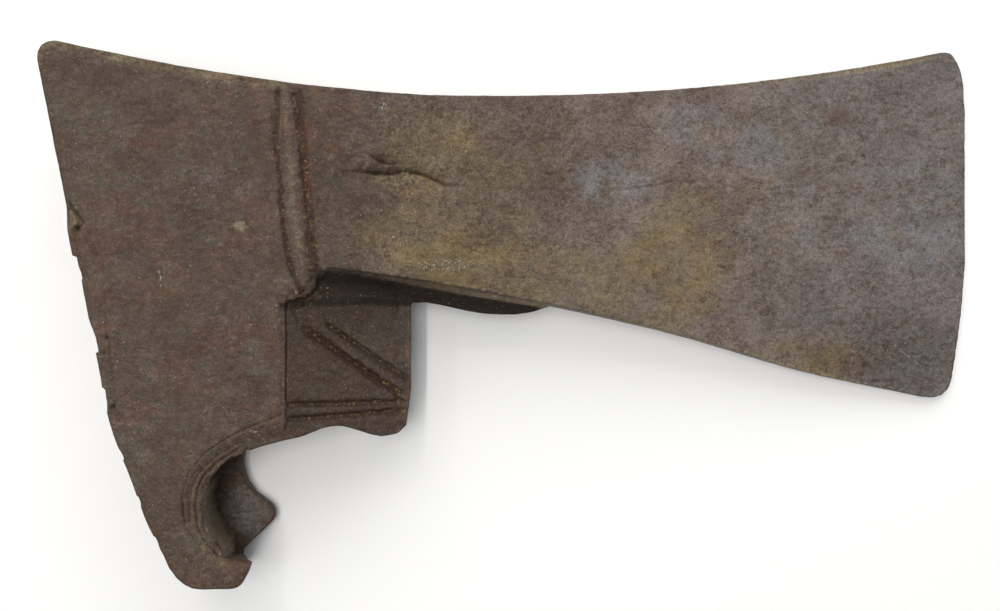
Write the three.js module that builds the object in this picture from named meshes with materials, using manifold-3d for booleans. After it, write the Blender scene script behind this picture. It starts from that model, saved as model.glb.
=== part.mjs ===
// Forged iron axe head with a wide shaft hole, lying on its side. Millimetres, +Z up.
//
// The head is worked out in its own frame first: x runs from the socket's front line to the cutting
// edge, y runs up the haft from the top of the panel, and z crosses the thickness from the middle
// plane to the face that looks up. At the end the head is tipped so that one blade face lies flat.

import * as THREE from 'three';
import { mergeVertices } from 'three/addons/utils/BufferGeometryUtils.js';
import Module from 'manifold-3d';

const wasm = await Module();
wasm.setup();

// Socket: two cheeks, the poll behind and the wall in front
const SOCKET_THICKNESS = 28;   // across both cheeks
const CHEEK_WALL = 4.5;
const POLL_WALL = 13;          // from the poll's face to the eye
const FRONT_WALL = 6;          // from the eye to the socket's front line
const POLL_REACH = 58.9;       // from the front line back to the poll's top corner
const POLL_RISE = 59;          // of that corner above the panel's top
const POLL_CORNER = 4.5;
const POLL_LEAN = 11;          // degrees, from the top corner to the bend
const HEEL_LEAN = 20.4;        // degrees, from the bend to the foot
const BEND_DROP = 22;          // of the bend below the panel's top
const FOOT_DROP = 65.4;        // of the foot below the panel's top
const FOOT_CORNER = 5;
const EYE_CORNER = 2.5;        // radius in the eye's four corners
const WORN_EDGE = 1.4;         // rounding on the cheeks' edges

// Blade
const BLADE_LENGTH = 162.2;    // from the front line to the foremost point of the cutting edge
const EDGE_THICKNESS = 1.2;
const EDGE_RADIUS = 269;       // of the curved cutting edge
const EDGE_MIDDLE = 28;        // height of the edge's foremost point
const EDGE_RISE = 62.6;        // of the blade's top corner
const EDGE_DROP = 26.2;        // of the blade's bottom corner
const BLADE_CORNER = 5.5;
const WAIST_PLACE = 30;        // the blade is narrowest here
const WAIST_RISE = 47.2;
const ROOT_PLACE = 8;          // where the blade's lower side leaves the socket
const ROOT_RISE = 7.3;
const SWELL_PLACE = 122;       // the lower side swells ahead of its corner
const SWELL_LENGTH = 23;
const SWELL_DEPTH = 1.8;

// Panel below the blade's root, and the keel that runs on from it under the blade
const PANEL_LENGTH = 25;
const PANEL_DROP = 30.2;       // middle height of its worn lower edge
const PANEL_SWELL = 1.4;       // the worn edge waves up and down by this much
const PANEL_BACK = 3.2;        // the panel starts this far behind the front line
const PANEL_STEP = 1;          // the panel lies this far below the cheek
const PANEL_THICKNESS = 10;    // at its blunt front edge
const PANEL_CORNER = 3;
const KEEL_LENGTH = 58;        // from the front line to the keel's rounded end
const KEEL_THICKNESS = 7;
const KEEL_DROP = 3.2;         // of its lowest point below the panel's top
const BLADE_LIP = 0.5;         // the blade's face stands out over the keel by this much

// Mouth of the socket: a scooped notch in the cheeks, a toe on the foot, a broken lobe on the far cheek
const NOTCH_RADIUS = 12.5;
const NOTCH_BAND = 4.3;        // width of the bevelled band around the near cheek's notch
const NOTCH_BEVEL = 1.6;       // depth of that band at the notch
const CHEEK_DROP = 33.4;       // of the cheek's lower edge where the notch begins
const TOE_REACH = 5.4;         // of the toe beyond the poll's wall
const TOE_HEIGHT = 7;
const TOE_SLANT = 3.5;         // the toe's upper side falls away towards the far cheek
const LOBE_REACH = 10.6;       // of the far cheek's broken lobe beyond the poll's wall

// Rib between two grooves, and the lines cut into the panel
const GROOVE_WIDTH = 2.3;      // in front of the rib
const GROOVE_DEPTH = 1.1;
const BACK_GROOVE_WIDTH = 1.5; // behind the rib
const RIB_WIDTH = 5.6;
const RIB_LEAN = 7.5;          // degrees, forward and down
const LINE_WIDTH = 1.8;
const LINE_DEPTH = 0.8;

const CLEAR = 2;               // how far a cutter reaches past what it cuts
const SINK = 1;                // how far a joined piece reaches into its neighbour

const half = SOCKET_THICKNESS / 2;
const radians = THREE.MathUtils.degToRad;
const lerp = THREE.MathUtils.lerp;
const steps = (count) => Array.from({ length: count + 1 }, (_, i) => i / count);
const point = (x, y) => new THREE.Vector2(x, y);

const bladeSlope = (half - EDGE_THICKNESS / 2) / BLADE_LENGTH;
const faceAt = (x) => Math.min(half, half - bladeSlope * x);

const panelSlope = (half - PANEL_STEP - PANEL_THICKNESS / 2) / (PANEL_LENGTH + PANEL_BACK);
const panelAt = (x) => PANEL_THICKNESS / 2 + panelSlope * (PANEL_LENGTH - x);

function solid(geometry) {
  geometry.deleteAttribute('normal');
  geometry.deleteAttribute('uv');
  const merged = mergeVertices(geometry, 1e-4);
  return new wasm.Manifold(new wasm.Mesh({
    numProp: 3,
    vertProperties: Float32Array.from(merged.attributes.position.array),
    triVerts: Uint32Array.from(merged.index.array),
  }));
}

// A flat shape made thick from z = low to z = high
function plate(points, low, high) {
  const settings = { depth: high - low, bevelEnabled: false, steps: 1 };
  return solid(new THREE.ExtrudeGeometry(new THREE.Shape(points), settings).translate(0, 0, low));
}

// A flat shape in x and z made long from y = low to y = high
function prism(points, low, high) {
  const shape = new THREE.Shape(points.map((p) => point(p.x, -p.y)));
  const settings = { depth: high - low, bevelEnabled: false, steps: 1 };
  return solid(new THREE.ExtrudeGeometry(shape, settings).rotateX(-Math.PI / 2).translate(0, low, 0));
}

// A skin over rings of equally many points, closed by a flat cap at each end
function loft(rings) {
  const count = rings[0].length;
  const positions = rings.flat().flatMap((p) => [p.x, p.y, p.z]);
  const index = [];
  for (let r = 0; r < rings.length - 1; r += 1) {
    for (let i = 0; i < count; i += 1) {
      const a = r * count + i;
      const b = r * count + ((i + 1) % count);
      index.push(a, b, b + count, a, b + count, a + count);
    }
  }
  const last = (rings.length - 1) * count;
  for (let i = 1; i < count - 1; i += 1) {
    index.push(0, i + 1, i, last, last + i, last + i + 1);
  }
  const geometry = new THREE.BufferGeometry();
  geometry.setAttribute('position', new THREE.Float32BufferAttribute(positions, 3));
  geometry.setIndex(index);
  let made = solid(geometry);
  if (made.volume() < 0) {
    for (let i = 0; i < index.length; i += 3) {
      [index[i], index[i + 1]] = [index[i + 1], index[i]];
    }
    geometry.setIndex(index);
    made = solid(geometry);
  }
  return made;
}

// The poll's face leans forward as it runs down, and leans more below the bend
function pollAt(y) {
  const bendX = -POLL_REACH + (POLL_RISE + BEND_DROP) * Math.tan(radians(POLL_LEAN));
  const lean = y > -BEND_DROP ? POLL_LEAN : HEEL_LEAN;
  return bendX - (y + BEND_DROP) * Math.tan(radians(lean));
}
const eyeBackAt = (y) => pollAt(y) + POLL_WALL;

// Upper side, hollowed along the socket and the waist, and flaring to the cutting edge
function topAt(x) {
  if (x < WAIST_PLACE) {
    const share = (WAIST_PLACE - x) / (WAIST_PLACE + POLL_REACH);
    return lerp(WAIST_RISE, POLL_RISE, share ** 1.67);
  }
  const share = (x - WAIST_PLACE) / (BLADE_LENGTH - WAIST_PLACE);
  return lerp(WAIST_RISE, EDGE_RISE, share ** 2);
}

// Lower side of the blade, with a slight swell ahead of the corner
function lowAt(x) {
  const share = Math.max(0, x - ROOT_PLACE) / (BLADE_LENGTH - ROOT_PLACE);
  const swell = SWELL_DEPTH * Math.exp(-(((x - SWELL_PLACE) / SWELL_LENGTH) ** 2));
  return lerp(ROOT_RISE, -EDGE_DROP, share ** 1.25) - swell;
}

const edgeAt = (y) => BLADE_LENGTH - (y - EDGE_MIDDLE) ** 2 / (2 * EDGE_RADIUS);

// A quarter turn from one point to another, bulging towards the corner between them
function corner(from, at, to) {
  return new THREE.QuadraticBezierCurve(from, at, to).getPoints(4);
}

const notchTop = -CHEEK_DROP;
const toeTop = -FOOT_DROP + TOE_HEIGHT;
const toeBack = eyeBackAt(toeTop);

// The notch's rim: level under the cheek, then a scoop down the poll's wall to the toe
function notchRim() {
  const middle = (notchTop + toeTop) / 2;
  const deepest = eyeBackAt(middle) - SINK;
  const start = point(deepest + NOTCH_RADIUS, notchTop);
  const scoop = new THREE.SplineCurve([
    start,
    point(lerp(deepest, start.x, 0.35), lerp(middle, notchTop, 0.68)),
    point(deepest, middle),
    point(lerp(deepest, toeBack, 0.3), lerp(middle, toeTop, 0.52)),
    point(toeBack, toeTop),
  ]);
  return [point(-PANEL_BACK, -PANEL_DROP - PANEL_SWELL), ...scoop.getPoints(16)];
}

function sideOutline() {
  const topBack = -POLL_REACH + POLL_CORNER;
  const frontTop = BLADE_LENGTH - BLADE_CORNER;
  const frontLow = frontTop - BLADE_CORNER;
  const highCorner = topAt(frontTop);
  const lowCorner = lowAt(frontTop - 1);
  const footX = pollAt(-FOOT_DROP);
  const toeX = toeBack + TOE_REACH;
  const pollTop = topAt(topBack);
  return [
    ...corner(point(pollAt(pollTop - POLL_CORNER), pollTop - POLL_CORNER),
      point(pollAt(pollTop), pollTop), point(topBack, pollTop)),
    ...steps(16).slice(1).map((t) => lerp(topBack, WAIST_PLACE, t)).map((x) => point(x, topAt(x))),
    ...steps(12).slice(1, -1).map((t) => lerp(WAIST_PLACE, frontTop, t)).map((x) => point(x, topAt(x))),
    ...corner(point(frontTop, highCorner), point(edgeAt(highCorner) - 0.5, highCorner),
      point(edgeAt(highCorner - 1.4 * BLADE_CORNER), highCorner - 1.4 * BLADE_CORNER)),
    ...steps(10).slice(1, -1).map((t) => lerp(highCorner - 1.4 * BLADE_CORNER, lowCorner + BLADE_CORNER, t))
      .map((y) => point(edgeAt(y), y)),
    ...corner(point(edgeAt(lowCorner + BLADE_CORNER), lowCorner + BLADE_CORNER),
      point(edgeAt(lowCorner), lowCorner - 0.3), point(frontLow, lowAt(frontLow))),
    ...steps(18).slice(1).map((t) => lerp(frontLow, ROOT_PLACE, t))
      .map((x) => point(x, lowAt(x))),
    point(ROOT_PLACE / 2, ROOT_RISE - 0.2),
    point(ROOT_PLACE * 0.44, ROOT_RISE * 0.55),
    point(ROOT_PLACE * 0.3, ROOT_RISE * 0.22),
    point(0, 0.2),
    point(-PANEL_BACK, 0),
    ...notchRim(),
    point(toeX, toeTop - 1.4),
    point(toeX - 0.7, toeTop - TOE_HEIGHT * 0.5),
    ...corner(point(toeX - 2, -FOOT_DROP + 1.2), point(toeX - 3, -FOOT_DROP), point(toeX - 5, -FOOT_DROP)),
    ...corner(point(footX + FOOT_CORNER, -FOOT_DROP), point(footX + 1, -FOOT_DROP),
      point(pollAt(-FOOT_DROP + FOOT_CORNER), -FOOT_DROP + FOOT_CORNER)),
    point(pollAt(-BEND_DROP), -BEND_DROP),
  ];
}

// Cheeks, poll and blade in one: the side outline, worn round at its edges, inside the blade's wedge
function forging() {
  const settings = {
    depth: SOCKET_THICKNESS - 2 * WORN_EDGE,
    bevelSize: WORN_EDGE,
    bevelThickness: WORN_EDGE,
    bevelOffset: -WORN_EDGE,
    bevelSegments: 2,
    steps: 1,
  };
  const sides = new THREE.ExtrudeGeometry(new THREE.Shape(sideOutline()), settings);
  sides.translate(0, 0, WORN_EDGE - half);
  const back = -POLL_REACH - CLEAR;
  const front = BLADE_LENGTH + CLEAR;
  const backHalf = half - bladeSlope * back;
  const frontHalf = half - bladeSlope * front;
  const wedge = prism([point(back, -backHalf), point(front, -frontHalf),
    point(front, frontHalf), point(back, backHalf)], -FOOT_DROP - CLEAR, POLL_RISE + EDGE_RISE);
  return solid(sides).intersect(wedge);
}

// Panel in front of the socket: it thins towards a blunt edge, and its lower edge is worn wavy
function panel() {
  const back = SINK - FRONT_WALL;
  const front = PANEL_LENGTH + CLEAR;
  const wave = (x) => -PANEL_DROP - PANEL_SWELL * Math.cos(2 * Math.PI * (x + PANEL_BACK) / 22);
  const outline = [
    point(back, SINK),
    ...steps(14).map((t) => lerp(back, PANEL_LENGTH - PANEL_CORNER, t)).map((x) => point(x, wave(x))),
    point(PANEL_LENGTH - 0.35 * PANEL_CORNER, -PANEL_DROP + 0.3 * PANEL_CORNER),
    point(PANEL_LENGTH - 0.2 * PANEL_CORNER, -PANEL_DROP + 1.5 * PANEL_CORNER),
    point(PANEL_LENGTH, -PANEL_DROP + 3 * PANEL_CORNER),
    point(PANEL_LENGTH, SINK),
  ];
  const wedge = prism([point(back, -panelAt(back)), point(front, -panelAt(front)),
    point(front, panelAt(front)), point(back, panelAt(back))], -FOOT_DROP, POLL_RISE);
  return plate(outline, -half, half).intersect(wedge);
}

// Hollowed underside of the blade's root, which becomes a keel in front of the panel
function keel() {
  const rings = steps(16).map((t) => {
    const x = lerp(-SINK, KEEL_LENGTH, t);
    const ahead = THREE.MathUtils.smoothstep(x, PANEL_LENGTH, PANEL_LENGTH + 3);
    const dip = THREE.MathUtils.smoothstep(x, PANEL_LENGTH, KEEL_LENGTH - 12);
    const close = THREE.MathUtils.smoothstep(x, KEEL_LENGTH - 6, KEEL_LENGTH + 1);
    const top = lowAt(x) + SINK;
    const bottom = lerp(lerp(-SINK * (1 - ahead) / 2, -KEEL_DROP, dip), lowAt(x) - 0.4, close);
    const wide = faceAt(Math.max(0, x)) - BLADE_LIP;
    const narrow = lerp(panelAt(x) - BLADE_LIP, KEEL_THICKNESS / 2, ahead);
    const middle = lerp(wide, narrow, 0.75);
    const waist = lerp(top, bottom, 0.5);
    return [[top, wide], [waist, middle], [bottom, narrow], [bottom, -narrow], [waist, -middle], [top, -wide]]
      .map(([y, z]) => new THREE.Vector3(x, y, z));
  });
  return loft(rings);
}

// The far cheek broke off lower down and left a pointed lobe
function lobe() {
  const wall = (y) => eyeBackAt(y) - 3 * SINK;
  const tip = eyeBackAt(toeTop + 5) + LOBE_REACH;
  const neck = tip - 8;
  return plate([
    point(wall(notchTop + SINK), notchTop + SINK),
    point(wall(toeTop - SINK), toeTop - SINK),
    point(toeBack + SINK, toeTop - 2.2),
    point(tip - 1.8, toeTop + 3.4),
    point(tip - 0.2, toeTop + 5),
    point(tip - 0.2, toeTop + 7),
    point(tip - 1.2, toeTop + 8.4),
    point(tip - 5, toeTop + 11),
    point(neck + 0.8, toeTop + 14.2),
    point(neck, toeTop + 17.5),
    point(neck, notchTop + SINK),
  ], -half, -half + CHEEK_WALL);
}

// Eye for the haft: from the upper side down to the toe, with rounded corners
function eye() {
  const front = -FRONT_WALL;
  const deep = half - CHEEK_WALL;
  const ring = (y) => {
    const back = eyeBackAt(y);
    const round = Math.min(EYE_CORNER, (front - back) / 3, deep / 2);
    const turn = (cx, cz, from) => steps(3).map((t) => radians(from + 90 * t))
      .map((a) => new THREE.Vector3(cx + round * Math.cos(a), y, cz + round * Math.sin(a)));
    return [
      ...turn(front - round, deep - round, 0),
      ...turn(back + round, deep - round, 90),
      ...turn(back + round, round - deep, 180),
      ...turn(front - round, round - deep, 270),
    ];
  };
  return loft([POLL_RISE + CLEAR, -BEND_DROP, toeTop].map(ring));
}

// Below the near cheek the toe slants back to the poll's wall, and its upper side falls away
function toeCut() {
  const tip = toeBack + TOE_REACH;
  const inner = half - CHEEK_WALL;
  const front = prism([point(tip + CLEAR, inner), point(tip - SINK, inner),
    point(toeBack, -half - CLEAR), point(tip + CLEAR, -half - CLEAR)], -FOOT_DROP - CLEAR, toeTop + SINK);
  const top = [tip + CLEAR, toeBack - SINK].map((x) => [
    [toeTop, half],
    [toeTop - TOE_SLANT, -half + CHEEK_WALL],
    [toeTop + CLEAR, -half + CHEEK_WALL],
    [toeTop + CLEAR, half],
  ].map(([y, z]) => new THREE.Vector3(x, y, z)));
  return front.add(loft(top));
}

// Bevelled band along the near cheek's notch
function notchBand() {
  const rim = notchRim();
  const rings = rim.map((p, i) => {
    const along = rim[Math.min(i + 1, rim.length - 1)].clone().sub(rim[Math.max(i - 1, 0)]).normalize();
    const into = point(along.y, -along.x);
    const fade = Math.sin(Math.PI * Math.min(1, (rim.length - 1 - i) / 5) / 2);
    const at = (away, z) => new THREE.Vector3(p.x + into.x * away, p.y + into.y * away, z);
    return [
      at(NOTCH_BAND * fade + 0.01, half + 0.01),
      at(NOTCH_BAND * fade + 0.01, half + CLEAR),
      at(-CLEAR, half + CLEAR),
      at(-CLEAR, half - NOTCH_BEVEL * fade - 0.01),
      at(0, half - NOTCH_BEVEL * fade - 0.01),
    ];
  });
  return loft(rings);
}

// A V-shaped groove along a path on a face; it narrows to a point where its width share is small
function groove(path, width, depth, face, side) {
  const rings = path.map((p, i) => {
    const along = path[Math.min(i + 1, path.length - 1)].clone().sub(path[Math.max(i - 1, 0)]).normalize();
    const across = point(-along.y, along.x);
    const share = i === path.length - 1 ? 0.3 : 1;
    const surface = face(p.x);
    const at = (away, z) => new THREE.Vector3(p.x + across.x * away, p.y + across.y * away, side * z);
    const reach = share * width / 2;
    return [
      at(-reach, surface),
      at(-reach, surface + CLEAR),
      at(reach, surface + CLEAR),
      at(reach, surface),
      at(0, surface - share * depth),
    ];
  });
  return loft(rings);
}

const curve = (points, count) => new THREE.SplineCurve(points).getPoints(count);

// The rib stands between a wide groove in front and a narrow one behind, and ends in a point
function ribGrooves() {
  const foot = ROOT_RISE;
  const front = (y) => ROOT_PLACE * 0.46 - (y - foot) * Math.tan(radians(RIB_LEAN));
  const head = topAt(0) - CLEAR;
  const frontPath = curve([head, lerp(foot, head, 0.66), lerp(foot, head, 0.33), foot - 0.5]
    .map((y) => point(front(y), y)), 6);
  const backPath = curve([
    point(front(head) - RIB_WIDTH * 0.66, head),
    point(front(lerp(foot, head, 0.76)) - RIB_WIDTH, lerp(foot, head, 0.76)),
    point(front(lerp(foot, head, 0.3)) - RIB_WIDTH * 1.05, lerp(foot, head, 0.3)),
    point(front(foot) - RIB_WIDTH * 1.05, foot),
    point(0, foot * 0.15),
  ], 10);
  return [1, -1].flatMap((side) => [
    groove(frontPath, GROOVE_WIDTH, GROOVE_DEPTH, faceAt, side),
    groove(backPath, BACK_GROOVE_WIDTH, GROOVE_DEPTH * 0.7, faceAt, side),
  ]);
}

// Two slanting lines and two level ones, cut into the panel's near face
function panelLines() {
  const front = PANEL_LENGTH + CLEAR;
  const paths = [
    [point(0, -PANEL_DROP * 0.2), point(front - 3, -PANEL_DROP * 0.76)],
    [point(5.5, -PANEL_DROP * 0.18), point(front, -PANEL_DROP * 0.66)],
    [point(-PANEL_BACK, -PANEL_DROP * 0.79), point(front, -PANEL_DROP * 0.79)],
    [point(-PANEL_BACK, -PANEL_DROP * 0.9), point(PANEL_LENGTH * 0.4, -PANEL_DROP * 0.88),
      point(front, -PANEL_DROP * 0.85)],
  ];
  return paths.map((path) => groove(curve(path, 4), LINE_WIDTH, LINE_DEPTH, panelAt, 1));
}

function axeHead() {
  let head = forging().add(panel()).add(keel()).subtract(eye()).subtract(toeCut()).add(lobe());
  for (const cutter of [notchBand(), ...ribGrooves(), ...panelLines()]) {
    head = head.subtract(cutter);
  }
  const mesh = head.getMesh();
  const geometry = new THREE.BufferGeometry();
  geometry.setAttribute('position', new THREE.BufferAttribute(mesh.vertProperties, 3));
  geometry.setIndex(new THREE.BufferAttribute(mesh.triVerts, 1));
  return geometry;
}

const iron = new THREE.MeshStandardMaterial({ color: '#5d4e45', roughness: 0.6, metalness: 0.5 });
const head = new THREE.Mesh(axeHead(), iron);
head.name = 'axe_head';

// Tip the head so that the blade's far face lies level, and centre it over the origin
head.rotation.y = Math.atan(bladeSlope);
head.updateMatrix();
const box = new THREE.Box3().setFromBufferAttribute(
  head.geometry.attributes.position.clone().applyMatrix4(head.matrix),
);
const centre = box.getCenter(new THREE.Vector3());
head.position.set(-centre.x, -centre.y, -box.min.z);

const axe = new THREE.Group();
axe.add(head);

export default axe;
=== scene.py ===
import math

import bpy
import numpy as np
from mathutils import Matrix, Vector


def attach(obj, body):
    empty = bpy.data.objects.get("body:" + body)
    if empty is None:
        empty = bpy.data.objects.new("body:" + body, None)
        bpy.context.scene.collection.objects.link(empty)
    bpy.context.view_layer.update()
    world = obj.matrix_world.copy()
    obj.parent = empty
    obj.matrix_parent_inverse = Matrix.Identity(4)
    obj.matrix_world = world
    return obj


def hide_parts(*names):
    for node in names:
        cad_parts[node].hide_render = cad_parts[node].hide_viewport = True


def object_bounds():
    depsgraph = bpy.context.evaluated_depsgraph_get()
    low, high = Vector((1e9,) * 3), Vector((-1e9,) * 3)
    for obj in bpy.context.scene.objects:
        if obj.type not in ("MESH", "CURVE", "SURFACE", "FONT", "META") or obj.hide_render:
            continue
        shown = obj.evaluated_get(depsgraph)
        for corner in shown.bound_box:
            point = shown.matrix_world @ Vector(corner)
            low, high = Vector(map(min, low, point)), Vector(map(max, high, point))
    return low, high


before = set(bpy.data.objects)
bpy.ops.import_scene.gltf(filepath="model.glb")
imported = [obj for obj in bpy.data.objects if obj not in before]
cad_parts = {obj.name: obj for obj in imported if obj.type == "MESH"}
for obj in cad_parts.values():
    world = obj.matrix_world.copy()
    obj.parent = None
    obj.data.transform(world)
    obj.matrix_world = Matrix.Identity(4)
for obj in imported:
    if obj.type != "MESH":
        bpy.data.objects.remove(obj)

cad_low, cad_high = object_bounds()
scene = bpy.context.scene

# Camera
# The head is seen from straight above, from about a forearm's length, so the near cheek looks
# larger than the far one and the inside of the poll's wall shows at the mouth.
MM = 0.001
CAMERA_HEIGHT = 311 * MM
CAMERA_X = -5.0 * MM
CAMERA_Y = 0.8 * MM
LENS = 45.0                    # mm
SENSOR = 36.0                  # mm
NEAREST = 10 * MM              # what the camera can still see

camera = bpy.data.objects.new("camera", bpy.data.cameras.new("camera"))
camera.data.sensor_width = SENSOR
camera.data.lens = LENS
camera.data.clip_start = NEAREST
camera.location = (CAMERA_X, CAMERA_Y, cad_low.z + CAMERA_HEIGHT)
scene.collection.objects.link(camera)
scene.camera = camera


# Forging
# The whole head is one forging of wrought iron, folded round the haft and drawn out to the blade.
# Its skin keeps shallow hammer marks, and rust has eaten small pits in it and softened its edges.
HALF_SOCKET = 14.0             # mm, half the thickness across both cheeks
HALF_EDGE = 0.6                # mm, half the cutting edge's thickness
BLADE_LENGTH = 162.2           # mm, from the socket's front line to the cutting edge
POLL_TO_FRONT = 58.79          # mm, from the poll's top corner to the front line, along the floor
FOOT_TO_PANEL = 65.4           # mm, from the foot up to the panel's top
VOXEL = 0.36                   # mm, the grain of the fine mesh
SMOOTHINGS = 3                 # times that its steps are evened out
LUMP_HEIGHTS = 4093            # how many random heights the lumps are made from
LUMP_STEPS = (73856093, 19349663, 83492791)    # spread a lump's place over those heights
FAR_AWAY = 1e9                 # mm, for points out of a path's reach

lie = math.atan((HALF_SOCKET - HALF_EDGE) / BLADE_LENGTH)
turn = np.array([[math.cos(lie), 0, -math.sin(lie)], [0, 1, 0], [math.sin(lie), 0, math.cos(lie)]])
origin = np.array([cad_low.x / MM + POLL_TO_FRONT, cad_low.y / MM + FOOT_TO_PANEL,
                   cad_low.z / MM + HALF_SOCKET * math.cos(lie)])


def apply_modifier(thing, kind, **settings):
    """Applies one modifier to a thing's own mesh."""
    modifier = thing.modifiers.new(kind, kind)
    for name, value in settings.items():
        setattr(modifier, name, value)
    made = bpy.data.meshes.new_from_object(thing.evaluated_get(bpy.context.evaluated_depsgraph_get()))
    thing.modifiers.clear()
    thing.data = made


def rising(value, low, high):
    """0 below low, 1 above high and an S between them."""
    t = np.clip((value - low) / (high - low), 0, 1)
    return t * t * (3 - 2 * t)


def falling(value, low, high):
    """1 below low, 0 above high and an S between them."""
    return 1 - rising(value, low, high)


def lumps(size, seed, chosen=slice(None)):
    """Smooth random lumps from 0 to 1 that lie size millimetres apart on the chosen points."""
    random = np.random.default_rng(seed)
    heights = random.random(LUMP_HEIGHTS)
    p = head[chosen] / size + random.random(3) * 50 + 100
    cell = np.floor(p).astype(np.int64)
    t = p - cell
    t = t * t * (3 - 2 * t)
    total = np.zeros(len(p))
    for corner in range(8):
        step = np.array([corner & 1, corner >> 1 & 1, corner >> 2 & 1])
        at = cell + step
        at = at * LUMP_STEPS
        chosen_height = (at[:, 0] ^ at[:, 1] ^ at[:, 2]) % LUMP_HEIGHTS
        total += np.prod(np.where(step, t, 1 - t), axis=1) * heights[chosen_height]
    return total


skin = bpy.data.objects.new("axe_head_skin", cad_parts["axe_head"].data.copy())
scene.collection.objects.link(skin)
skin.data.materials.clear()
apply_modifier(skin, "REMESH", mode="VOXEL", voxel_size=VOXEL * MM, use_smooth_shade=True)
apply_modifier(skin, "SMOOTH", factor=0.5, iterations=SMOOTHINGS)

count = len(skin.data.vertices)
rows = np.zeros(count * 3)
out = np.zeros(count * 3)
skin.data.vertices.foreach_get("co", rows)
skin.data.vertex_normals.foreach_get("vector", out)

# The head's own frame, in millimetres: x to the cutting edge, y up the haft, z out of the near face
head = (rows.reshape(-1, 3) / MM - origin) @ turn.T
out = out.reshape(-1, 3) @ turn.T
x, y, z = head.T
near = rising(out[:, 2], 0.45, 0.9)            # 1 on the near face
rim = falling(np.abs(out[:, 2]), 0.6, 0.95)    # 1 on the narrow sides and inside the eye

# How strongly each coat of colour lies on each point, and where the mesh has to stay fine. The dark,
# pale, grey and blue masks also carry painted shade, painted highlights and painted sheen, and the dust mask
# one painted highlight.
masks = {name: np.zeros(count) for name in ("cut", "speck", "gold", "grey", "blue", "red", "rust", "dark",
                                            "pale", "dust", "keep")}

# How deep each point sinks, in millimetres: hammer marks 15 and 6 mm apart, finer unevenness and
# pits. The narrow sides were dressed, so they are flatter, but rust has rounded their edges.
depth = 0.22 * lumps(15, 1) + 0.10 * lumps(6, 2) + 0.05 * lumps(2.4, 3) + 0.04 * lumps(1.1, 4)
depth += 0.16 * rising(lumps(2.6, 5), 0.7, 0.92)
depth *= 1 - 0.7 * rim
depth += rim * (0.12 * lumps(2.2, 6) - 0.30)


def clouds(size, seed, low, high):
    """Ragged clouds, 0 or 1 with soft borders, that lie size millimetres apart."""
    value = 0.5 * lumps(size, seed) + 0.3 * lumps(size / 2.1, seed + 1) + 0.2 * lumps(size / 4.3, seed + 2)
    return rising(value, low, high)


PATH_REACH = 9                 # mm, how far from a path its marks may reach


def from_path(path):
    """Distance from a path on the near face, the share of the way along it, and 1 on its left or -1."""
    path = np.array(path, float)
    low, high = path.min(axis=0) - PATH_REACH, path.max(axis=0) + PATH_REACH
    chosen = np.flatnonzero((x > low[0]) & (x < high[0]) & (y > low[1]) & (y < high[1]))
    flat = head[chosen, :2]
    lengths = np.linalg.norm(np.diff(path, axis=0), axis=1)
    starts = np.concatenate([[0], np.cumsum(lengths)])
    found = np.full((3, count), FAR_AWAY)
    best = np.full((3, len(chosen)), FAR_AWAY)
    for a, b, start, length in zip(path[:-1], path[1:], starts, lengths):
        way = (b - a) / length
        along = np.clip((flat - a) @ way, 0, length)
        off = flat - a - along[:, None] * way
        far = np.hypot(off[:, 0], off[:, 1])
        side = np.sign(way[0] * off[:, 1] - way[1] * off[:, 0])
        best = np.where(far < best[0], [far, (start + along) / starts[-1], side], best)
    found[:, chosen] = best
    return found


def mark(name, value):
    """Raises one mask to a value wherever it is lower."""
    masks[name] = np.maximum(masks[name], value)


def carve(path, width, deep, soil=1.0, fade=0.12):
    """Cuts a ragged line of width by deep millimetres along a path in the near face, and soils it."""
    global depth
    gap, share, side = from_path(path)
    ends = rising(share, -fade / 3, fade) * falling(share, 1 - fade, 1 + fade / 3)
    ragged = np.full(count, width / 2)
    chosen = np.flatnonzero(gap < 2 * width)
    ragged[chosen] *= 0.4 + 0.8 * lumps(0.9, len(path), chosen) + 0.4 * lumps(2.5, len(path), chosen)
    profile = np.clip(1.15 - gap / (ragged * 1.1), 0, 1) * near * (0.3 + 0.7 * ends)
    depth = depth + deep * profile
    mark("cut", soil * falling(gap, ragged * 0.7, ragged * 1.4) * near * ends)
    mark("keep", (gap < width + 1.2) * near)
    return gap, share, side


def lower(height, where):
    """Planes the near side down to a height, which may differ from place to place."""
    head[:, 2] = np.where((z > height) & (where > 0), height, z)


# Poll
# The back of the socket, 28 mm thick, was struck and bruised: a flake stands off its edge, laps of
# the fold run down beside it, and its edge is nicked. Its upper edge is rounded, and a painted highlight
# lies along it.
POLL_EDGE = [(-58.2, 53.4), (-55.2, 36.5), (-51.5, 20.5), (-48.7, 4.4), (-43.9, -19.7),
             (-37.1, -41.3), (-28.9, -60.2), (-24.9, -64.8)]
POLL_FLAKE = [(-51.9, 22.4), (-50.4, 20.5), (-49.5, 19.4), (-48.7, 18.5), (-48.2, 17.4),
              (-48.7, 16.0), (-49.5, 14.7), (-49.5, 12.2), (-49.4, 9.6)]
POLL_LAP = [(-44.3, -1.6), (-43.2, -3.8), (-43.6, -6.3), (-43.0, -8.5), (-42.5, -11.2),
            (-42.1, -15.0), (-41.5, -17.9), (-41.2, -21.3), (-41.0, -24.0), (-40.4, -26.9)]
TOP_EDGE = [(-58.0, 53.4), (-56.9, 57.0), (-54.8, 58.1), (-39.9, 54.6), (-26.7, 52.1),
            (-12.8, 50.5), (0, 48.9), (13.5, 47.7), (31.8, 47.1), (50.5, 47.3), (69.6, 48.3),
            (89.1, 50.5), (106.5, 52.7), (124.3, 55.2), (139.8, 57.6), (152.9, 60.5), (157.1, 61.1)]

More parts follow.
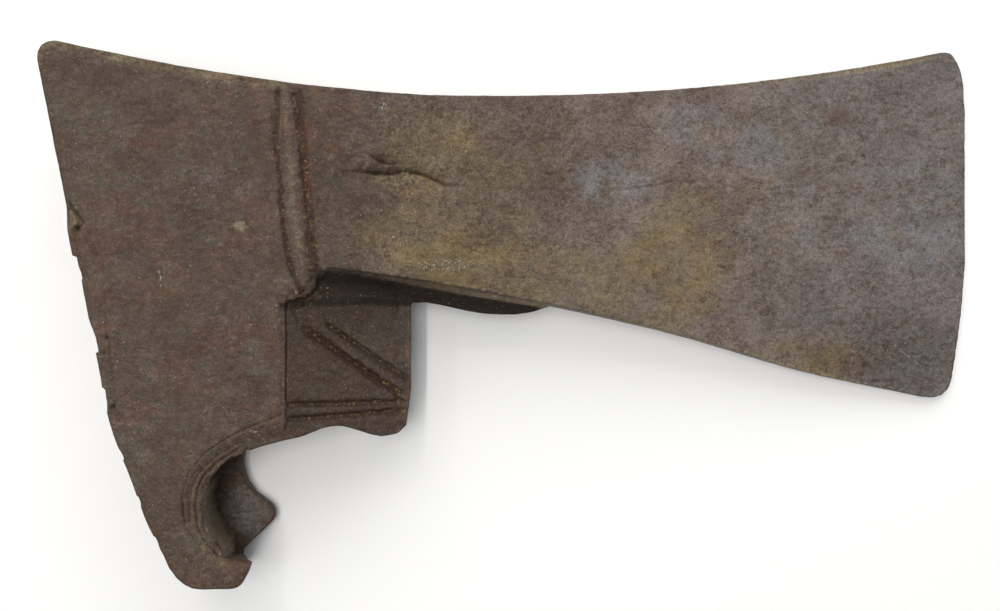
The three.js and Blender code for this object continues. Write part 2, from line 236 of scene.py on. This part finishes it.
gap, _, side = carve(POLL_FLAKE, 0.7, 0.9, soil=0.6)
flake = (side < 0) * falling(gap, 1.2, 3.2) * rising(y, 9.4, 10) * falling(y, 20, 23) * (x < -47)
depth += 0.35 * flake * near
mark("pale", 0.45 * flake * near)
gap, share, side = carve(POLL_LAP, 0.45, 0.3, soil=0.35)
lapped = (side < 0) * falling(gap, 0.5, 4) * near * rising(share, 0, 0.1) * falling(share, 0.9, 1)
depth += 0.22 * lapped
PITS = [(-48.9, 16.0, 1.0), (-42.9, -8.4, 0.8), (-41.3, -24.1, 1.0), (-43.5, -12.0, 0.6)]
for pit_x, pit_y, size in PITS:
    pit = falling(np.hypot((x - pit_x) * 1.3, y - pit_y), 0.2 * size, size)
    depth += 0.7 * pit * near
    mark("cut", pit * near)
    mark("keep", pit)

# Bites out of the near edge and bulges over it: each starts sharply at its first height and dies
# out at its second. The heel below swells a little.
BITES = [(9.6, 22, -0.9), (-11.9, -4, 0.7), (-19.6, -26, 0.7), (4.5, 8, 0.3), (-44, -47, 0.35),
         (-36, -33, 0.35), (-53, -56, 0.3)]
edge_shift = -1.2 * rising(-y, 16, 32) * falling(-y, 48, 62) - 0.3
for start, end, deep in BITES:
    way = (y - start) * (1 if end > start else -1)
    length = abs(end - start)
    edge_shift += deep * rising(way, 0, 0.4) * falling(way, 0.4 * length, length)
gap = from_path(POLL_EDGE)[0]
head[:, 0] += edge_shift * falling(gap, 0.5, 4) * rising(z, -2, 10)
mark("keep", (gap < 2.5) * (z > 8) * (y < 24))

gap = from_path(TOP_EDGE)[0]
band = falling(gap, 1.0, 2.6) * falling(x, -6, 0)
lower(HALF_SOCKET - 0.45 * (1.9 + 0.4 * lumps(8, 21) - gap), band)
# Painted highlight, with a little gold, on the rounded upper band, which faces the light
mark("pale", 0.42 * band * rising(z, 10.5, 12.5) * (0.3 + 0.9 * lumps(4, 23)))
mark("gold", 0.25 * band * rising(z, 10.5, 12.5))
mark("rust", 0.7 * falling(np.hypot((x + 40.2) / 1.6, (y + 26.4) / 2.2), 0.3, 1))
nick = falling(np.hypot(x + 12.8, y - 49.6), 0.2, 1.0)
depth += 0.5 * nick * (z > 8)
spot = falling(np.hypot((x + 13.4) / 2.2, (y - 16.7) / 1.6) + 0.5 * lumps(1.2, 22), 0.75, 1.15)
mark("pale", spot * near)
mark("speck", spot * near)
HAIR = [(-31.6, 7.3), (-31.2, 5.6), (-30.8, 4.2), (-30.9, 2.8)]
gap = from_path(HAIR)[0]
mark("dust", falling(gap, 0.05, 0.35) * near)
mark("keep", (gap < 1) * near)

# Rib
# The cheeks are welded together in front of the haft, and the seam stands as a leaf-shaped rib
# between a wide groove in front and a narrow one behind. Soil and red rust lie in both.
FRONT_GROOVE = [(-0.6, 47.6), (0.1, 41.9), (0.4, 36.2), (1.0, 28.3), (1.5, 22.6), (2.1, 17.0),
                (2.7, 11.3), (3.4, 7.2)]
BACK_GROOVE = [(-4.9, 47.9), (-5.2, 42.9), (-5.6, 38.4), (-5.2, 32.8), (-4.5, 27.1), (-4.1, 20.3),
               (-3.4, 13.6), (-2.3, 7.9), (-0.7, 3.8), (0.2, 2.0)]

front_gap, _, front_side = from_path(FRONT_GROOVE)
back_gap, _, back_side = from_path(BACK_GROOVE)

# Each groove's width, and how far under the face its soil lies
for gap, width, fill, seed in ((front_gap, 2.6, 0.50, 24), (back_gap, 1.6, 0.40, 25)):
    groove = (gap < width) & (z > 11) & (y < 47.6)
    soil = HALF_SOCKET - fill + 0.35 * lumps(0.9, seed)
    head[:, 2] = np.where(groove & (z < soil), z + (soil - z) * falling(y, 46, 47.6), z)
    ragged = width / 2 * (0.65 + 0.5 * lumps(0.8, seed + 10) + 0.3 * lumps(2.5, seed + 20))
    soiled = 0.72 + 0.4 * lumps(1.6, seed + 5)
    mark("cut", falling(gap, ragged * 0.6, ragged * 1.15) * (z > 8) * soiled)
    mark("speck", 0.97 * falling(gap, 0.5 * width, 0.65 * width) * (z > 8))
    mark("keep", groove)
streak = rising(y, 18, 28) * falling(y, 42, 46) * (front_side > 0)
streak *= falling(np.abs(front_gap - 0.8), 0.4, 1.2)
streak *= rising(0.6 * lumps(0.7, 34) + 0.4 * lumps(1.9, 35), 0.36, 0.62)
rusty = 0.62 * streak + 0.42 * falling(front_gap, 0.8, 1.6)
mark("rust", rusty * (0.5 + 0.9 * lumps(1.1, 24)))
mark("rust", 0.45 * falling(back_gap, 0.4, 1.1) * (0.5 + 0.9 * lumps(1.1, 25)))

rib = (front_side < 0) * (back_side > 0) * (y > 1) * (y < 48)
rib = rib * rising(front_gap, 1.1, 1.7) * rising(back_gap, 0.7, 1.3)
RIDGE = [(-3.2, 46.5), (-2.7, 35), (-1.6, 22), (0.2, 8)]
gap = from_path(RIDGE)[0]
# Painted highlight along the rib, strongest on its ridge
mark("pale", rib * near * (0.05 + 0.3 * falling(gap, 0.1, 1.3)) * (0.4 + 1.1 * lumps(2.5, 29)))
# A painted highlight fleck at the rib's tip, laid with the dust coat
mark("dust", 0.9 * falling(np.hypot((x + 0.9) / 0.6, (y - 1.6) / 1.3), 0.4, 1) * near)

# The corner between the blade's root and the panel is rounded and rough, with painted shade in it
ROOT_CORNER = [(4.2, 7.4), (3.5, 4.0), (2.4, 1.6), (0, 0.2), (-3.0, 0)]
gap, _, side = from_path(ROOT_CORNER)
lower(HALF_SOCKET - 0.32 * (2.8 - gap), (side < 0) * (gap < 2.8) * (y > -0.5) * (y < 8) * (x > -3))
mark("dark", 0.45 * falling(gap, 0.3, 2.8) * (x > -1.5) * (y > 0) * (y < 7.5) * (0.4 + lumps(1.2, 26)))
depth += falling(gap, 1.0, 2.6) * (lumps(1.2, 27) - 0.4) * (x > -2.5) * (y < 7.5)
mark("cut", 0.9 * falling(gap, 0.2, 0.9) * rising(lumps(1.0, 28), 0.3, 0.4) * (x < 3))
depth -= 0.12 * rib * near

# Blade
# Drawn out thin and 85 mm deep at its curved edge. A lap of the forging opened in its root; its
# back and lower edges are bevelled, with painted highlights on them. Oil and heat left golden and bluish
# patches on it, and painted sheen adds to the grey and blue.
LAP = [(9.6, 29.1), (13.5, 29.4), (17.5, 29.0), (20.7, 28.9), (23.5, 29.7), (25.5, 29.4),
       (28.3, 28.8), (30.8, 27.8), (33.9, 26.6), (37.0, 26.3)]
SMALL_LAP = [(14.6, 33.7), (16.2, 32.8), (18.0, 31.8), (20.3, 31.2), (23.2, 31.4)]
CRACK = [(69.6, 26.0), (74.5, 26.0), (79.3, 26.8), (83, 27.2), (87.1, 28.4), (94.0, 28.0)]
SCARS = [[(70.3, 34.8), (72.0, 33.8), (74.2, 33.4)], [(79.9, 42.4), (81.6, 41.2), (83.8, 40.5)],
         [(68.5, 28.2), (70.5, 27.2), (73.0, 27.4)], [(55.0, 30.0), (58.0, 29.4), (60.5, 30.0)]]
ROOT_SCAR = [(1.5, 42.4), (2.9, 41.0), (4.5, 39.9)]
SCRATCH = [(143.7, -11.0), (147.1, -13.7), (150.5, -16.2)]
LOW_EDGE = [(2.9, 7.2), (11.2, 6.6), (22.6, 4.6), (31.8, 2.8), (45.7, 0.7), (56.4, -1.4),
            (69.6, -4.0), (81.7, -6.4), (94.0, -9.5), (106.5, -12.9), (119.1, -16.6),
            (132.0, -19.9), (145.0, -22.5), (152.9, -23.8)]


def patch(cx, cy, rx, ry):
    """A soft oval place on the near face, 1 in its middle and 0 outside it."""
    return falling(np.hypot((x - cx) / rx, (y - cy) / ry), 0.2, 1.2) * rising(out[:, 2], 0, 0.5)


gap, share, side = carve(LAP, 0.9, 0.85, soil=0.95, fade=0.25)
under = (side < 0) * falling(gap, 0.5, 6) * rising(share, 0.02, 0.3) * falling(share, 0.75, 1)
hollow = (side > 0) * near * falling(gap, 0, 3.5) * rising(share, 0.1, 0.4) * falling(share, 0.6, 1)
depth += 0.55 * hollow
# Painted shade on the slope above the lap, which faces away from the light
shade = (side > 0) * near * falling(gap, 0.3, 3.0) * rising(share, 0.05, 0.3) * falling(share, 0.5, 0.9)
mark("dark", 0.55 * shade)
rough = patch(22, 29.5, 15, 6)
depth += (0.5 * rising(lumps(1.5, 31), 0.3, 0.8) + 0.25 * lumps(0.7, 37)) * rough * near
mark("speck", under)
mark("gold", 0.35 * under)
mark("keep", (rough > 0.2) * near)
gap, share, side = carve(SMALL_LAP, 0.7, 0.6, soil=0.9, fade=0.35)
fold = (side > 0) * falling(gap, 0, 2.5) * rising(share, 0, 0.3) * falling(share, 0.7, 1) * near
depth += 0.35 * fold
# Painted shade on the fold above the small lap
mark("dark", 0.5 * fold)
carve(CRACK, 0.4, 0.3, soil=0.7, fade=0.35)
for scar in SCARS:
    carve(scar, 0.6, 0.3, soil=0.7, fade=0.4)
carve(ROOT_SCAR, 0.4, 0.25, soil=0.6, fade=0.3)
gap = from_path(SCRATCH)[0]
mark("dust", 0.9 * falling(gap, 0.1, 0.4))
mark("keep", (gap < 1.2) * near)

# The bevels along the blade's two long edges, with painted highlights on them and a thin dark line along the
# upper one's inner side
gap = from_path(TOP_EDGE)[0]
bevel = rising(x, 88, 118) * (0.65 + 0.35 * rising(x, 110, 140)) * falling(x, 150, 158)
face = HALF_SOCKET - (HALF_SOCKET - HALF_EDGE) / BLADE_LENGTH * x
lower(face - 0.3 * (1.5 * bevel - gap), (bevel > 0.02) * (z > 0))
mark("pale", bevel * falling(gap, 1.0, 1.4) * (z > 0))
mark("cut", 0.3 * bevel * falling(np.abs(gap - 1.6), 0.1, 0.4) * (z > 0))
mark("keep", (gap < 2.2) * (z > 0) * (x > 80))
gap, _, low_side = from_path(LOW_EDGE)
bevel = rising(x, 27, 45) * falling(x, 126, 150)
lower(face - 0.8 * (0.5 * bevel - gap), (bevel > 0.02) * (z > 0) * (x > 20))
# Painted highlight along the lower bevel
mark("pale", 0.9 * bevel * falling(gap, 0.4, 0.7) * (z > 0) * (0.5 + 0.7 * lumps(3, 36)))
mark("keep", (gap < 1.8) * (z > 0) * (x > 20))
flaking = patch(139, -21.5, 9, 2.6) * rising(lumps(1.6, 32), 0.45, 0.6)
depth += 0.35 * flaking

# Golden, grey and bluish films of oxide, a little red bloom, and dust: each patch's middle and reach.
# The grey and the blue are partly painted sheen, which grows towards the cutting edge.
golden = 0.62 * patch(36, 20, 24, 26) + 1.1 * patch(88, 8, 15, 22) + 0.9 * patch(122, -14, 19, 7)
golden += 0.8 * patch(32, 12, 26, 12) + 0.7 * patch(62, 4, 34, 14) + 0.35 * patch(112, 24, 30, 24)
golden += 0.3 * patch(52, 36, 30, 14) + 0.35 * patch(20, 38, 22, 14)
mark("gold", np.minimum(golden, 1.0) * (0.35 + 0.55 * clouds(9, 60, 0.3, 0.7)))
# Grey oxide film, partly painted sheen that grows towards the cutting edge
grey_film_and_sheen = 0.35 * rising(x, 4, 22) + 0.65 * rising(x, 35, 90)
mark("grey", grey_film_and_sheen * (0.6 + 0.4 * clouds(9, 64, 0.35, 0.65)) * (1 - 0.6 * patch(140, -14, 26, 12)))
# Blue oxide film, partly painted sheen
blue_film_and_sheen = 0.8 * patch(98, 40, 28, 11) + 0.8 * patch(73, 28, 18, 9) + 0.9 * patch(150, 18, 22, 24)
blue_film_and_sheen += 0.6 * patch(122, 20, 36, 24) + 0.25 * patch(8, 24, 9, 18) + 0.3 * patch(-18, -8, 20, 16)
blue_film_and_sheen += 0.4 * patch(-18, 22, 14, 18) + 0.35 * patch(-36, -30, 12, 14)
mark("blue", np.minimum(blue_film_and_sheen, 1.0) * (0.3 + 0.6 * clouds(6, 68, 0.28, 0.74)))
# Painted sheen: blue that grows towards the cutting edge
mark("blue", 0.45 * rising(x, 80, 125) * (1 - 0.7 * np.minimum(golden, 1.0)))
mark("red", clouds(9, 72, 0.42, 0.66) * (0.75 - 0.25 * rising(x, 20, 60)))
mark("dark", 0.2 * clouds(10, 76, 0.5, 0.68) * (1 - 0.9 * rising(x, 20, 60)) * rising(out[:, 2], -0.2, 0.5))
mark("dark", 0.15 * patch(115, -3, 20, 6) + 0.12 * patch(144, -14, 22, 12) + 0.15 * patch(55, 27, 14, 8))
mark("rust", 0.75 * patch(129, 45, 7, 5) + 0.35 * patch(67, 45, 6, 3) + 0.3 * patch(56, 30, 8, 3))
mark("dust", 0.72 * patch(19, 44.5, 6, 2.4) + 0.72 * patch(33, 8.2, 17, 3.4) + 0.66 * patch(22, 14, 4, 5))
mark("dust", 0.6 * patch(111, 33, 40, 18) * rising(lumps(2.5, 34), 0.4, 0.8))
mark("speck", 1.1 * patch(26, 26.5, 12, 7) + 0.97 * patch(60, 12, 40, 14) + 0.97 * patch(22, 40, 16, 9))

# Keel
# Below the blade's root the iron was pinched into a thin keel, hollow along its side. It faces away
# from the light, and painted shade darkens it to near black.
below = (low_side < 0) * (y > 0.3 - 4.5 * rising(x, 24, 26)) * (x < 60) * (z > -10)
below = below * rising(gap, 0.05, 0.5)
below *= rising(x + 2.5 * lumps(1.4, 44), 2.0, 6.0)
# Painted shade on the keel, darkest right under the blade's lower edge
mark("dark", below * (0.93 - 0.13 * rising(gap, 2.0, 5.5)))
mark("speck", 0.8 * below * falling(gap, 0.8, 2.2))

# Panel
# The front wall is thinned to a flat panel, cut with two slanting and two level lines that are
# filled with soil. Its lower edge is worn wavy, and it meets the cheek in a rough crease.
PANEL_LINES = [
    [(0.4, -6.3), (6, -10.2), (12, -14.8), (18, -18.8), (23.6, -22.7)],
    [(5.9, -5.7), (12, -10.2), (19, -15.2), (25.5, -19.4)],
    [(-3.0, -23.9), (5, -23.9), (15, -23.9), (25.5, -23.9)],
    [(-3.0, -27.2), (8, -26.7), (17, -26.2), (25.5, -25.8)],
]
LINE_WIDTHS = (2.4, 1.6, 1.8, 1.8)             # mm
LINE_DEPTH = 0.28              # mm, below the solid's own shallow lines
LINE_SOILS = (1.0, 0.85, 0.7, 0.75)            # how full of soil each line is
CREASE = [(-0.6, 0.4), (-2.6, -0.6), (-3.2, -3), (-3.0, -9.1), (-3.2, -18.1), (-3.2, -25.4), (-3.4, -29.9)]
SCROLL = [(-2.6, -1.6), (-1.4, -2.6), (-0.6, -4.2), (-0.4, -6.0)]
PANEL_TOP = [(-3.0, -0.5), (4, 0.2), (15, 0.4), (24.8, 0.1)]
on_panel = rising(x, -3.4, -3.0) * falling(y, -0.6, 0.2) * (z < 13.6) * (x < 26) * (y > -33)
# Painted shade over the panel, which lies under the blade, deepest towards its top
mark("dark", on_panel * rising(out[:, 2], 0.2, 0.6) * (0.32 + 0.15 * rising(y, -12, -4)))
for path, width, soil in zip(PANEL_LINES, LINE_WIDTHS, LINE_SOILS):
    gap = carve(path, width, LINE_DEPTH, soil=soil, fade=0.06)[0]
    mark("speck", falling(gap, 0.35 * width, 0.7 * width) * near)
carve(CREASE, 0.6, 0.35, soil=0.8, fade=0.02)
carve(SCROLL, 0.6, 0.35, soil=0.6, fade=0.1)
gap, _, side = carve(PANEL_TOP, 0.5, 0.2, soil=0.8, fade=0.02)
# Painted shade along the panel's top, under the blade's root
mark("dark", falling(gap, 0.8, 3.0) * (side < 0) * (x < 25) * (z > 0))

# The wavy lower edge is rubbed pale
lip = y + 30.2 + 1.4 * np.cos(2 * np.pi * (x + 3.2) / 22)
mark("pale", falling(lip, 0.3, 0.8) * (x > 8) * (x < 25) * rising(z, 9.5, 11) * (y > -34))
mark("rust", 0.6 * patch(22, -24, 4, 3) * rising(lumps(1.0, 41), 0.5, 0.7))

# Mouth
# The socket's lower end, where the cheeks are cut back in a round notch. The near cheek has scribed
# arcs and a scalloped inner rim, and the poll's wall inside is streaked and reddish.
ARC = [(-3.4, -25.6), (-5.2, -26.4), (-11.9, -28.9), (-17.0, -31.6), (-21.9, -35.1), (-25.0, -39.1),
       (-26.2, -44.1), (-25.8, -48.8), (-25.2, -52.0)]
INNER_ARC = [(-11.9, -32.6), (-18.5, -36.7), (-21.6, -39.9), (-23.0, -42.8), (-23.4, -46.6),
             (-23.0, -51.1), (-21.6, -54.0), (-19.2, -56.8), (-16.5, -59.1)]
MIDDLE_ARC = [(-13.5, -32.2), (-19.0, -35.6), (-22.6, -39.2), (-24.1, -42.8), (-24.6, -46.4), (-24.2, -50.6)]
carve(ARC, 0.45, 0.35, soil=0.85, fade=0.08)
gap, share, side = carve(INNER_ARC, 0.5, 0.4, soil=0.8, fade=0.1)
inside = (side > 0) * (gap < 5) * (share > 0.02) * (share < 0.98)
lower(13.0 - 1.1 * gap + 0.9 * lumps(1.5, 54), inside)
wall = inside * (z < 12) * (z > -9)
depth += wall * (0.45 * lumps(2.2, 55) + 0.3 * lumps(0.9, 56))
mark("dark", 0.12 * wall * rising(lumps(1.6, 57), 0.4, 0.75))
mark("rust", 0.5 * wall * rising(lumps(2.0, 60), 0.4, 0.7))
carve(MIDDLE_ARC, 0.4, 0.3, soil=0.6, fade=0.2)
band = falling(gap, 0.6, 3.4) * (side < 0) * (z > 8)
mark("rust", 0.55 * falling(np.abs(gap - 0.6), 0.1, 0.7) * rising(lumps(0.9, 51), 0.35, 0.6) * (z > 10))
mark("rust", 0.35 * patch(-14, -57, 6, 4))
mark("gold", 0.3 * band)
mark("speck", 0.4 * band)

# The far cheek's lobe, seen through the notch: painted light, bluish, on its middle, darker and rusty round
# it
lobe = (z < -6) * (x > -24) * (y < -34) * (y > -60) * rising(out[:, 2], 0.3, 0.7)
painted_light = lobe * falling(np.hypot((x + 14.5) / 8, (y + 51.5) / 7.5) + 0.4 * lumps(2.5, 52), 0.8, 1.35)
mark("blue", 0.5 * painted_light)
mark("dark", 0.2 * (lobe - painted_light) * rising(-y, 38, 43) * (0.5 + lumps(1.5, 58)))
mark("rust", 0.5 * (lobe - painted_light) * rising(lumps(1.8, 61), 0.3, 0.7))
depth += 0.5 * lobe * rising(lumps(1.6, 59), 0.3, 0.7) * falling(-y, 38, 43)
# Painted light on the wall inside the mouth and on the lobe's middle
mark("pale", 0.5 * wall * (0.4 + lumps(1.5, 53)) + 0.2 * painted_light)
dusty = patch(-11.5, -34.2, 2.2, 1.1) + patch(-15.5, -42, 1.0, 1.6) + patch(-10.5, -29.8, 3, 0.8)
mark("dust", dusty * 0.8)

# Skin
# All the marks are pressed into the skin, which is then thinned most where it is plain.
MOST_TRIANGLES = 195000
MARGIN = 0.01 * MM             # how far the skin stays inside the solid's box
EDGE_REACH = 0.6               # mm, that the cutting edge gets back after its steps were evened out
head -= out * depth[:, None]
head[:, 0] += EDGE_REACH * rising(x, 152, 161)
rows = (head @ turn + origin) * MM
rows = np.clip(rows, np.array(cad_low) + MARGIN, np.array(cad_high) - MARGIN)
skin.data.vertices.foreach_set("co", rows.ravel())
for name, values in masks.items():
    if name != "keep":
        layer = skin.data.attributes.new(name, "FLOAT", "POINT")
        layer.data.foreach_set("value", np.clip(values, 0, 1).astype(np.float32))

# The plain far side is thinned most, the plain near side less, and the marks hardly at all
thin = skin.vertex_groups.new(name="thin")
keep = masks["keep"] > 0.3
hidden = out[:, 2] < -0.3
for chosen, weight in [(~keep & ~hidden, 0.4), (keep, 0.06), (hidden & ~keep, 1.0)]:
    thin.add(np.flatnonzero(chosen).tolist(), weight, "REPLACE")
skin.data.update()
apply_modifier(skin, "DECIMATE", ratio=MOST_TRIANGLES / (2 * len(skin.data.polygons)), vertex_group="thin",
               vertex_group_factor=1.0)
skin.data.polygons.foreach_set("use_smooth", [True] * len(skin.data.polygons))
skin.data.update()

# Patinated wrought iron
# A dull oxide skin, dark brown on the socket and olive gold to blue grey along the blade. It mirrors
# very little, so it looks dusty and dark; soil, ochre specks and red rust fill the cuts. Its dark, pale,
# grey and blue coats also carry painted shade, painted highlights and painted sheen.
def linear(code):
    """An sRGB hex colour as the linear one that a shader takes."""
    shares = [int(code[i:i + 2], 16) / 255 for i in (1, 3, 5)]
    return [s / 12.92 if s <= 0.04045 else ((s + 0.055) / 1.055) ** 2.4 for s in shares] + [1.0]


def add_node(kind, inputs=None, output=0, **settings):
    """Adds a node with its settings; inputs take values or the outputs of other nodes."""
    made = tree.nodes.new(kind)
    for name, value in settings.items():
        setattr(made, name, value)
    for name, value in (inputs or {}).items():
        if isinstance(value, bpy.types.NodeSocket):
            tree.links.new(value, made.inputs[name])
        else:
            made.inputs[name].default_value = value
    return made.outputs[output] if output is not None else made


BARE = "#53463d"               # the brown oxide under all the coats
MIDDLE_HALF = {"From Min": 0.3, "From Max": 0.7}       # where most of a pattern's values lie

iron = bpy.data.materials.new("patinated_wrought_iron")
iron.use_nodes = True
tree = iron.node_tree
tree.nodes.clear()
place = add_node("ShaderNodeTexCoord", output="Object")

# Each pattern's lumps in millimetres, its detail, its roughness and its stretch across the blade.
# Real grit is finer than this, but finer grit wouldn't show.
PATTERNS = [
    ("grit", 0.42, 2, 0.7, 1),
    ("scale", 0.8, 5, 0.75, 1),
    ("fleck", 0.4, 1, 0.5, 1.3),
    ("film", 1.7, 5, 0.7, 0.7),
    ("stain", 3.0, 6, 0.72, 0.8),
    ("cloud", 6.5, 6, 0.7, 0.8),
    ("bloom", 4.2, 6, 0.74, 0.7),
    ("lines", 2.4, 5, 0.7, 0.6),
]
patterns = {}
for name, size, detail, rough, tall in PATTERNS:
    moved = add_node("ShaderNodeMapping", {
        "Vector": place, "Location": (0.31 * len(patterns), 0.17, 0.23),
        "Scale": (size * MM, size * tall * MM, size * MM)}, vector_type="TEXTURE")
    patterns[name] = add_node("ShaderNodeTexNoise", {"Vector": moved, "Scale": 1.0, "Detail": detail,
                                                     "Roughness": rough})

# Hairline cracks run where the lines pattern passes its middle value, in the places that are stained
ridge = add_node("ShaderNodeMath", {0: patterns["lines"], 1: 0.5}, operation="PINGPONG")
patterns["crack"] = add_node("ShaderNodeMath", {0: patterns["bloom"], 1: 0.14, 2: ridge},
                             operation="MULTIPLY_ADD")

# Coats of oxide, each with its mask and the pattern that breaks it up: their sum gives where the
# coat starts and where it is whole, and the last number is how much it covers.
GROUND_COATS = [
    ("#514c41", "", "cloud", 0.47, 0.60, 0.75),
    ("#5d453b", "red", "stain", 0.80, 1.45, 0.70),
    ("#63574f", "", "bloom", 0.53, 0.68, 0.55),
    # Grey: oxide film, partly painted sheen that grows towards the cutting edge
    ("#776c65", "grey", "scale", 0.60, 1.45, 1.00),
    ("#7d6c4b", "gold", "film", 0.65, 1.50, 0.90),
    # Blue: oxide film, partly painted sheen
    ("#797b80", "blue", "film", 0.75, 1.45, 0.80),
    ("#573f2c", "", "stain", 0.54, 0.66, 0.60),
    ("#655049", "", "film", 0.56, 0.66, 0.40),
    # Dark: painted shade on the keel, panel, laps and root corner, and darker tones elsewhere
    ("#271f19", "dark", "scale", 0.50, 1.45, 1.00),
    # Pale: painted highlights on the bevels, upper band and rib, painted light inside the mouth, and pale
    # wear
    ("#82765f", "pale", "scale", 0.60, 1.50, 0.80),
]
FINE_COATS = [
    ("#251c16", "", "crack", 0.565, 0.575, 0.50),
    ("#86643f", "", "grit", 0.67, 0.74, 0.50),
    ("#a29a8e", "", "fleck", 0.73, 0.77, 0.70),
    ("#2e2018", "cut", "scale", 0.85, 1.55, 0.94),
    ("#5a2c1d", "rust", "film", 1.00, 1.55, 0.85),
    ("#8f774c", "speck", "scale", 1.52, 1.62, 0.65),
    # Dust: also one painted highlight fleck at the rib's tip
    ("#a9aaa9", "dust", "fleck", 1.25, 1.42, 0.75),
]
# How much each pattern lightens and darkens the ground coats
SHADES = [("grit", 0.32), ("scale", 0.36), ("film", 0.26), ("cloud", 0.20)]
colour = None
for coats in (GROUND_COATS, FINE_COATS):
    for code, mask, pattern, first, whole, cover in coats:
        share = patterns[pattern]
        if mask:
            worn = add_node("ShaderNodeAttribute", output="Fac", attribute_name=mask)
            share = add_node("ShaderNodeMath", {0: share, 1: worn}, operation="ADD")
        share = add_node("ShaderNodeMapRange", {"Value": share, "From Min": first, "From Max": whole,
                                                "To Min": 0.0, "To Max": cover})
        colour = add_node("ShaderNodeMix", {0: share, 6: colour or linear(BARE), 7: linear(code)},
                          output=2, data_type="RGBA")
    if coats is GROUND_COATS:
        for pattern, change in SHADES:
            shade = add_node("ShaderNodeMapRange", {"Value": patterns[pattern], **MIDDLE_HALF,
                                                    "To Min": 1 - change, "To Max": 1 + change})
            colour = add_node("ShaderNodeVectorMath", {0: colour, "Scale": shade}, operation="SCALE")

# Oxide covers most of the metal, so little of it gleams, and it is duller where the scale is thick
grain = add_node("ShaderNodeBump", {"Height": patterns["film"], "Strength": 0.7, "Distance": 0.3 * MM})
dull = add_node("ShaderNodeMapRange", {"Value": patterns["scale"], **MIDDLE_HALF,
                                       "To Min": 0.55, "To Max": 0.72})
shader = add_node("ShaderNodeBsdfPrincipled", {
    "Base Color": colour,
    "Metallic": 0.25,
    "Specular IOR Level": 0.2,
    "Roughness": dull,
    "Normal": grain,
})
add_node("ShaderNodeOutputMaterial", {"Surface": shader}, output=None)

skin.data.materials.append(iron)
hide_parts("axe_head")
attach(skin, "root")

# Table
# A plain white table top, painted and matt, on which the head's soft shadow falls. It reaches so
# far that a low view doesn't show its end.
FLOOR_REACH = 8.0
table = bpy.data.meshes.new("table_top")
corners = [(-1, -1), (1, -1), (1, 1), (-1, 1)]
table.from_pydata([(a * FLOOR_REACH, b * FLOOR_REACH, cad_low.z) for a, b in corners], [], [(0, 1, 2, 3)])
floor = bpy.data.objects.new("table_top", table)
scene.collection.objects.link(floor)
white = bpy.data.materials.new("matt_white_board")
white.use_nodes = True
board = white.node_tree.nodes["Principled BSDF"]
board.inputs["Base Color"].default_value = linear("#f9f9f9")
board.inputs["Roughness"].default_value = 0.9
board.inputs["Specular IOR Level"].default_value = 0.1
table.materials.append(white)

# Light
# Soft studio light: two broad lamps beyond the head's upper side, a weak one on the left, and broad
# light from above. Two thin tubes above the head give the bands in the shadow beside the panel.
def add_lamp(name, place, width, length, power, colour):
    """A flat lamp that faces the head, with its length along +Y."""
    data = bpy.data.lights.new(name, "AREA")
    data.shape = "RECTANGLE"
    data.size = width
    data.size_y = length
    data.energy = power
    data.color = linear(colour)[:3]
    lamp = bpy.data.objects.new(name, data)
    back = Vector(place).normalized()
    side = Vector((0, 1, 0)).cross(back).normalized()
    lamp.matrix_world = Matrix((side, back.cross(side), back)).transposed().to_4x4()
    lamp.location = place
    scene.collection.objects.link(lamp)


add_lamp("north_lamp", (0.0, 0.74, 0.60), 1.2, 0.7, 4.8, "#fffdfa")
add_lamp("low_north_lamp", (0.0, 0.85, 0.38), 1.2, 0.5, 1.3, "#fffdfa")
add_lamp("left_lamp", (-0.80, -0.05, 0.60), 0.5, 0.9, 0.8, "#fffefb")
add_lamp("tube_a", (-0.19, 0.15, 0.98), 0.03, 1.1, 3.0, "#fffaf4")
add_lamp("tube_b", (-0.53, 0.15, 0.85), 0.03, 1.1, 0.5, "#fffaf4")

# The light from above reaches the whole table, so it stays pale far from the head
TOP_GLOW = 1.12                # watts a square metre
TOP_SPREAD = 0.43              # radians, which gives a soft shadow
TOP_TILT = 0.043               # radians, from the left
top_light = bpy.data.objects.new("top_light", bpy.data.lights.new("top_light", "SUN"))
top_light.data.energy = TOP_GLOW
top_light.data.angle = TOP_SPREAD
top_light.data.color = linear("#fffefb")[:3]
top_light.rotation_euler.y = -TOP_TILT
scene.collection.objects.link(top_light)

SKY_GLOW = 0.20                # cool light from all round
SKY_SEEN = 0.60                # the pale wall behind the table, where a view takes it in
world = bpy.data.worlds.new("studio")
world.use_nodes = True
tree = world.node_tree
tree.nodes.clear()
seen = add_node("ShaderNodeLightPath", output="Is Camera Ray")
strength = add_node("ShaderNodeMapRange", {"Value": seen, "To Min": SKY_GLOW, "To Max": SKY_SEEN})
sky = add_node("ShaderNodeBackground", {"Color": linear("#eaf1f9"), "Strength": strength})
add_node("ShaderNodeOutputWorld", {"Surface": sky}, output=None)
scene.world = world
scene.view_settings.view_transform = "Standard"
scene.view_settings.look = "None"
